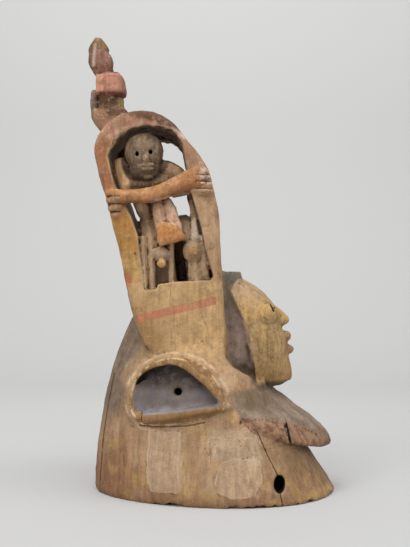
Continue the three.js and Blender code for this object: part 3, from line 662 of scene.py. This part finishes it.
fields = {
    # Millimetres from an edge or a line, which the nodes turn into sharp paint
    "eye": np.where(outer > 50, within(x, z, eye_shape), OUTSIDE),
    "band": np.where(on_panel, to_band, FAR),
    "crack": np.where((y < -30) & (z < 90), beside(x, z, FRONT_CRACK), FAR),
    "back_crack": np.where((y < -20) & (z < 140), beside(x, z, BACK_CRACK), FAR),
    "face": np.where((outer < 60) & (z > 118) & (z < 262), face, OUTSIDE),
    "face_here": (face_zone > 0.01).astype(float),
    "crease_shade": crease_shade,
    "lips": lips,
    "under_ledge": np.where((outer > 50) & (x > -82) & (x < -6), beside(x, z, LEDGE_FOOT), FAR),
    "ledge_split": np.where((outer > 50) & (z > 87) & (z < 102), x + 78, FAR),
    "broken": np.where(broken_edge, within(x, z, BROKEN_EDGE), OUTSIDE),
    "lid": np.where(outer > 50, within(x, z, LID_SHAPE), OUTSIDE),
    "ledge": np.where((outer > 50) & (z < 112), beside(x, z, LEDGE_TOP), 20),
    "slit": np.where(at_slit, np.abs(beside(x, z, SLIT)), FAR),
    "hole": np.where(outer > 60, hole, FAR),
    "notch": np.where((y < -20) & (z < 92) & (z > 60), beside(x, z, NOTCH), FAR),
    "patch": patch,
    "scratched": np.where(y < -60, within(x, z, SCRATCHED), OUTSIDE),
    "pit": np.where((y < -42) & (y > -75), to_pit, FAR),
    "cavity": hollow_small,
    "depth": hollow_large,
    "mottle": mottle,
    "flaked": flaked,
}
for name, values in fields.items():
    layer = mask.data.attributes.new(name, "FLOAT", "POINT")
    layer.data.foreach_set("value", np.clip(values, -FAR, FAR).astype(np.float32))
layer = mask.data.attributes.new("coat", "FLOAT_COLOR", "POINT")
layer.data.foreach_set("color", np.concatenate([coat, np.ones((len(x), 1))], 1).astype(np.float32).ravel())
# The figures and the near side keep more of their faces than the helmet and the far side
FIGURE_WEIGHT, NEAR_WEIGHT, PLAIN_WEIGHT = 0.05, 0.4, 0.8
figures = np.maximum.reduce([niche, arm, head, top, face_zone * near, lips, at_edge]) > 0.3
weights = np.where(figures, FIGURE_WEIGHT, np.where(y < -20, NEAR_WEIGHT, PLAIN_WEIGHT))
thinned(weights, MOST_TRIANGLES)
p = read(mask, "co")
p[:, 2] = np.maximum(p[:, 2], 0)
put(mask, p)


class Value:
    """A number or colour that flows between nodes. Python's signs add the nodes that work it out."""

    def __init__(self, nodes, socket):
        self.nodes, self.socket = nodes, socket

    def maths(self, operation, other=None, flip=False):
        sockets = [self] if other is None else [other, self] if flip else [self, other]
        return self.nodes.add("ShaderNodeMath", {"operation": operation}, dict(enumerate(sockets)))

    def __add__(self, other):
        return self.maths("ADD", other)

    def __sub__(self, other):
        return self.maths("SUBTRACT", other)

    def __rsub__(self, other):
        return self.maths("SUBTRACT", other, True)

    def __mul__(self, other):
        return self.maths("MULTIPLY", other)

    __radd__, __rmul__ = __add__, __mul__

    def __abs__(self):
        return self.maths("ABSOLUTE")


class Nodes:
    """The nodes of one material."""

    def __init__(self, material):
        material.use_nodes = True
        self.tree = material.node_tree
        self.skin = self.tree.nodes["Principled BSDF"]

    def add(self, kind, settings=None, inputs=None, output=0):
        node = self.tree.nodes.new(kind)
        for name, value in (settings or {}).items():
            setattr(node, name, value)
        for name, value in (inputs or {}).items():
            if isinstance(value, Value):
                self.tree.links.new(value.socket, node.inputs[name])
            else:
                node.inputs[name].default_value = value
        return Value(self, node.outputs[output])

    def field(self, name, output="Fac"):
        return self.add("ShaderNodeAttribute", {"attribute_name": name}, output=output)

    def ramp(self, value, low, high, to_low=0.0, to_high=1.0):
        return self.add("ShaderNodeMapRange", {"interpolation_type": "SMOOTHSTEP"}, {
            "Value": value, "From Min": low, "From Max": high, "To Min": to_low, "To Max": to_high})

    def noise(self, scale, detail=3.0, stretch=(1, 1, 1), roughness=0.55, at=(0, 0, 0)):
        place = self.add("ShaderNodeTexCoord", output="Object")
        place = self.add("ShaderNodeMapping", None, {"Vector": place, "Scale": stretch, "Location": at})
        return self.add("ShaderNodeTexNoise", None, {
            "Vector": place, "Scale": scale, "Detail": detail, "Roughness": roughness})

    def blend(self, below, above, amount, way="MIX"):
        return self.add("ShaderNodeMix", {"data_type": "RGBA", "blend_type": way}, {
            0: amount, 6: below, 7: above}, output=2)


def flat_colour(red, green, blue):
    return (*shade(red, green, blue), 1)


wood = bpy.data.materials.new("painted wood")
nodes = Nodes(wood)
colour = nodes.field("coat", "Color")
place = nodes.add("ShaderNodeTexCoord", output="Object")
height_above_rim = nodes.add("ShaderNodeSeparateXYZ", None, {0: place}, output=2)
grain = nodes.noise(190, 4, (1, 1, 0.1), roughness=0.65)
coarse_grain = nodes.noise(45, 3, (1, 1, 0.16), at=(3, 1, 2))
cloud = nodes.noise(34, 4, roughness=0.65, at=(1, 5, 3))
tint = nodes.noise(95, 5, roughness=0.68, at=(6, 2, 8))
flake = nodes.noise(230, 5, roughness=0.7, at=(4, 4, 9))
speck = nodes.noise(520, 2, at=(7, 2, 1))
veins = nodes.noise(40, 2, (1, 1, 0.09), roughness=0.5, at=(2, 7, 5))
scratches = nodes.noise(60, 3, (0.35, 1, 1.6), roughness=0.6, at=(9, 3, 2))
cavity = nodes.field("cavity")
depth = nodes.field("depth")
mottle = nodes.field("mottle")
ragged = (flake - 0.5) * 5

# The face is yellow ochre, clouded with olive, and its edge against the hair is sharp. The creases round its
# eyes and its eye slits get painted shade.
face = nodes.ramp(nodes.field("face"), -0.4, 0.4) * nodes.field("face_here")
face_colour = nodes.blend(flat_colour(196, 158, 102), flat_colour(162, 134, 92), nodes.ramp(cloud, 0.42, 0.6))
for paint, amount in (((194, 166, 130), nodes.ramp(tint, 0.52, 0.64) * 0.7),
                      ((128, 100, 62), nodes.ramp(flake + (cloud - 0.5), 0.56, 0.68) * 0.5),
                      ((172, 144, 114), nodes.ramp(height_above_rim, 0.21, 0.232) * 0.8),
                      ((158, 126, 84), nodes.ramp(height_above_rim, 0.158, 0.138) * 0.6),
                      ((104, 88, 70), nodes.ramp(height_above_rim, 0.131, 0.124)),
                      ((148, 114, 84), nodes.field("lips") * 0.8),
                      ((116, 92, 62), nodes.field("crease_shade") * 0.38)):
    face_colour = nodes.blend(face_colour, flat_colour(*paint), amount)
colour = nodes.blend(colour, face_colour, face)
# The patches and the scratched area are paler
patch = nodes.field("patch")
colour = nodes.blend(colour, flat_colour(180, 152, 124), nodes.ramp(patch, -0.4, 0.6) * 0.75)
patch_edge = nodes.ramp(abs(patch - 1.2), 1.2, 0.2) * nodes.ramp(tint, 0.42, 0.56)
colour = nodes.blend(colour, flat_colour(200, 176, 148), patch_edge * 0.6)
pale_area = nodes.ramp(nodes.field("scratched") + ragged, -3, 4)
colour = nodes.blend(colour, flat_colour(178, 156, 130), pale_area * 0.6)
# The broken edge of the visor is bare reddish wood
broken = nodes.field("broken")
bare_edge = nodes.ramp(broken + ragged * 0.3, -0.3, 0.5)
edge_colour = nodes.blend(flat_colour(158, 122, 96), flat_colour(126, 86, 64), nodes.ramp(tint, 0.48, 0.62))
edge_colour = nodes.blend(edge_colour, flat_colour(124, 84, 64), nodes.ramp(flake, 0.5, 0.64) * 0.4)
colour = nodes.blend(colour, edge_colour, bare_edge * 0.8)
# The painted band across the panel, ragged at its edges
band = nodes.ramp(abs(nodes.field("band") + ragged * 0.6), 5.6, 3.6) * nodes.ramp(cloud, 0.3, 0.55, 0.4, 0.85)
colour = nodes.blend(colour, flat_colour(180, 110, 86), band)
# Old stains and grime in the paint, and flakes off it down to pale wood
grime = nodes.ramp(tint + (cloud - 0.5) * 0.5, 0.5, 0.64)
colour = nodes.blend(colour, (0.46, 0.32, 0.24, 1), grime * mottle * 0.42, "MULTIPLY")
streaks = nodes.ramp(coarse_grain, 0.5, 0.64) * (1 - face * 0.6)
colour = nodes.blend(colour, (0.62, 0.5, 0.4, 1), streaks * 0.24, "MULTIPLY")
flakes = nodes.ramp(flake + (tint - 0.5) * 0.7, 0.56, 0.63)
colour = nodes.blend(colour, flat_colour(208, 180, 156), flakes * nodes.field("flaked") * 0.5)
# Worn wood along edges. Corners and creases are darker, partly dirt and partly painted shade, and deep
# hollows get painted shade.
bare = nodes.ramp(cavity + (flake - 0.5) * 0.6, -0.14, -0.4) * nodes.ramp(tint, 0.44, 0.56)
colour = nodes.blend(colour, flat_colour(206, 182, 150), bare * 0.4)
crevice_dirt_and_shade = nodes.ramp(cavity + (flake - 0.5) * 0.15, 0.05, 0.32)
colour = nodes.blend(colour, flat_colour(44, 30, 21), crevice_dirt_and_shade * 0.72)
colour = nodes.blend(colour, flat_colour(66, 47, 33), nodes.ramp(depth, 0.9, 4.5) * 0.35)
# The eye's blue-grey, with its ochre rim. The eye grows darker up under its lid, partly darker paint and
# partly painted shade of the lid.
eye = nodes.ramp(nodes.field("eye") + ragged * 0.15, -0.6, 0.3)
rim_mask = nodes.ramp(nodes.field("lid") + ragged * 0.2, -0.8, 0.8)
rim_colour = nodes.blend(flat_colour(130, 97, 60), flat_colour(168, 132, 90), nodes.ramp(tint, 0.48, 0.6))
ledge = nodes.ramp(nodes.field("ledge") + ragged * 0.2, 0.6, -0.6)
rim_colour = nodes.blend(rim_colour, flat_colour(136, 102, 64), ledge * 0.8)
colour = nodes.blend(colour, rim_colour, rim_mask * (0.9 - crevice_dirt_and_shade * 0.4))
up = height_above_rim + (cloud - 0.5) * 0.012
eye_colour = nodes.blend(flat_colour(142, 137, 140), flat_colour(112, 102, 98), nodes.ramp(up, 0.096, 0.114))
# Painted shade of the lid over the top of the eye, with darker paint
eye_colour = nodes.blend(eye_colour, flat_colour(60, 50, 44), nodes.ramp(up, 0.118, 0.132))
eye_colour = nodes.blend(eye_colour, flat_colour(100, 98, 104), nodes.ramp(tint, 0.5, 0.6) * 0.45)
eye_colour = nodes.blend(eye_colour, flat_colour(96, 84, 74), nodes.ramp(cloud, 0.52, 0.62) * 0.45)
beyond_lid = nodes.ramp(abs(nodes.field("lid") + 4 + ragged * 0.3), 2, 0.6) * nodes.ramp(cloud, 0.42, 0.52)
colour = nodes.blend(colour, flat_colour(206, 182, 152), beyond_lid * 0.45)
# A painted highlight along the lid's outer edge
lid_highlight = nodes.ramp(abs(nodes.field("lid") - 1.2), 1.3, 0.5) * nodes.ramp(tint, 0.44, 0.54)
colour = nodes.blend(colour, flat_colour(222, 200, 168), lid_highlight * 0.5)
colour = nodes.blend(colour, eye_colour, eye)
# Painted shadow under the ledge below the eye
ledge_shadow = nodes.ramp(abs(nodes.field("under_ledge") + ragged * 0.15), 1.1, 0.5)
colour = nodes.blend(colour, flat_colour(62, 44, 30), ledge_shadow * 0.8)
split = nodes.ramp(abs(nodes.field("ledge_split") + ragged * 0.1), 0.8, 0.4)
colour = nodes.blend(colour, flat_colour(56, 38, 26), split * 0.9)
# The grain, fine cracks along it and scratches across it
tone = nodes.ramp(grain, 0.32, 0.68, 0.84, 1.12) * nodes.ramp(cloud, 0.3, 0.7, 0.9, 1.1)
tone = tone * nodes.ramp(speck, 0.35, 0.65, 0.93, 1.06) * nodes.ramp(tint, 0.35, 0.65, 1.06, 0.92)
tone = 1 + (tone - 1) * (1 - eye * 0.6)
colour = nodes.add("ShaderNodeVectorMath", {"operation": "SCALE"}, {0: colour, "Scale": tone})
off_eye = 1 - eye
vein = nodes.ramp(abs(veins - 0.5), 0.006, 0.001) * nodes.ramp(cloud, 0.48, 0.58) * off_eye
colour = nodes.blend(colour, flat_colour(84, 60, 42), vein * 0.4)
scratch = nodes.ramp(abs(scratches - 0.5), 0.009, 0.002) * nodes.ramp(flake, 0.46, 0.56) * off_eye
colour = nodes.blend(colour, flat_colour(208, 188, 162), scratch * (0.24 + pale_area * 0.5))
# The cracks. The visor's notch, the seated figure's pierced eyes, the big face's eye slits and the hole in
# the helmet are painted near-black: painted shade inside them.
crack = nodes.ramp(abs(nodes.field("crack") + ragged * 0.2), 0.75, 0.3)
back_crack = nodes.ramp(abs(nodes.field("back_crack") + ragged * 0.3), 1.2, 0.4)
back_crack = back_crack * nodes.ramp(cloud, 0.35, 0.5)
colour = nodes.blend(colour, flat_colour(50, 35, 25), crack * 0.9)
colour = nodes.blend(colour, flat_colour(64, 44, 32), back_crack * 0.8)
# Painted shade in the notch, the pits, the slits and the hole
notch = nodes.ramp(abs(nodes.field("notch") + ragged * 0.2), 1.5, 0.9)
colour = nodes.blend(colour, flat_colour(22, 15, 11), notch)
colour = nodes.blend(colour, flat_colour(12, 9, 8), nodes.ramp(nodes.field("pit"), 2.6, 1.9))
colour = nodes.blend(colour, flat_colour(24, 17, 13), nodes.ramp(nodes.field("slit"), 1.3, 0.7))
colour = nodes.blend(colour, flat_colour(22, 15, 11), nodes.ramp(nodes.field("hole"), 1.14, 1.06))
skin = nodes.skin
nodes.tree.links.new(colour.socket, skin.inputs["Base Color"])
rough = nodes.ramp(flake, 0.35, 0.65, 0.66, 0.86)
nodes.tree.links.new(rough.socket, skin.inputs["Roughness"])
height = grain * 0.5 + flake * 0.7 + tint * 0.8 + speck * 0.2 - vein * 0.3 - bare * 0.3
bump = nodes.add("ShaderNodeBump", None, {"Height": height, "Strength": 0.6, "Distance": 0.0009})
nodes.tree.links.new(bump.socket, skin.inputs["Normal"])
skin.inputs["Specular IOR Level"].default_value = 0.18
mask.data.materials.clear()
mask.data.materials.append(wood)

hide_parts("crest_mask")
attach(mask, "root")

# The floor and the wall behind it are one pale sweep, as in a photographer's studio
sweep = bmesh.new()
FLOOR_START, BEND_START, BEND_RADIUS, BEND_STEPS, WALL_TOP, HALF_WIDTH = -1.6, 1.1, 0.7, 8, 3.2, 4
profile = [(FLOOR_START, 0.0), (BEND_START, 0.0)]
for i in range(1, BEND_STEPS + 1):
    angle = math.pi / 2 * i / BEND_STEPS
    profile.append((BEND_START + BEND_RADIUS * math.sin(angle), BEND_RADIUS * (1 - math.cos(angle))))
profile.append((BEND_START + BEND_RADIUS, WALL_TOP))
rows = [[sweep.verts.new((side * HALF_WIDTH, y, z)) for side in (-1, 1)] for y, z in profile]
for low, high in zip(rows, rows[1:]):
    sweep.faces.new((low[0], low[1], high[1], high[0]))
floor_mesh = bpy.data.meshes.new("sweep")
sweep.to_mesh(floor_mesh)
sweep.free()
floor = bpy.data.objects.new("sweep", floor_mesh)
floor_mesh.polygons.foreach_set("use_smooth", [True] * len(floor_mesh.polygons))
bpy.context.collection.objects.link(floor)
paper = bpy.data.materials.new("pale paper")
paper.use_nodes = True
sheet = paper.node_tree.nodes["Principled BSDF"]
sheet.inputs["Base Color"].default_value = (0.515, 0.515, 0.51, 1)
sheet.inputs["Roughness"].default_value = 0.9
floor_mesh.materials.append(paper)


def area_light(name, at, aim, size, watts):
    """A white soft box at a place, aimed at another."""
    lamp = bpy.data.lights.new(name, "AREA")
    lamp.shape = "RECTANGLE"
    lamp.size, lamp.size_y = size
    lamp.energy = watts
    holder = bpy.data.objects.new(name, lamp)
    holder.location = at
    holder.rotation_euler = (Vector(aim) - Vector(at)).to_track_quat("-Z", "Y").to_euler()
    bpy.context.collection.objects.link(holder)


area_light("overhead", (-0.3, -0.7, 1.9), (0, 0.1, 0.2), (1.6, 1.6), 31)
area_light("front fill", (-1.5, -1.6, 0.9), (0, 0, 0.25), (1.4, 1.4), 14)
area_light("right rim", (1.7, -0.6, 1.1), (0, 0, 0.25), (1.0, 1.4), 10.5)
area_light("wall", (0, 0.5, 1.6), (0, 1.8, 0.9), (2.4, 0.8), 14)
world = bpy.data.worlds.new("room")
world.use_nodes = True
sky = world.node_tree.nodes["Background"]
sky.inputs["Color"].default_value = (1, 1, 1, 1)
sky.inputs["Strength"].default_value = 0.43
bpy.context.scene.world = world
bpy.context.scene.view_settings.view_transform = "Standard"

# The camera stands level with the crest's foot, square to the mask's right side, 1.25 m from its middle
lens = bpy.data.cameras.new("camera")
lens.sensor_fit = "VERTICAL"
SENSOR_HEIGHT, CAMERA_AWAY = 24, 1.25
PHOTO_HEIGHT, MM_PER_PIXEL = 547, 1.186
lens.sensor_height = SENSOR_HEIGHT
lens.lens = SENSOR_HEIGHT / (PHOTO_HEIGHT * MM_PER_PIXEL * MM / CAMERA_AWAY)
camera = bpy.data.objects.new("camera", lens)
camera.location = (-0.008, -CAMERA_AWAY, 0.253)
camera.rotation_euler = (math.pi / 2, 0, 0)
bpy.context.collection.objects.link(camera)
bpy.context.scene.camera = camera
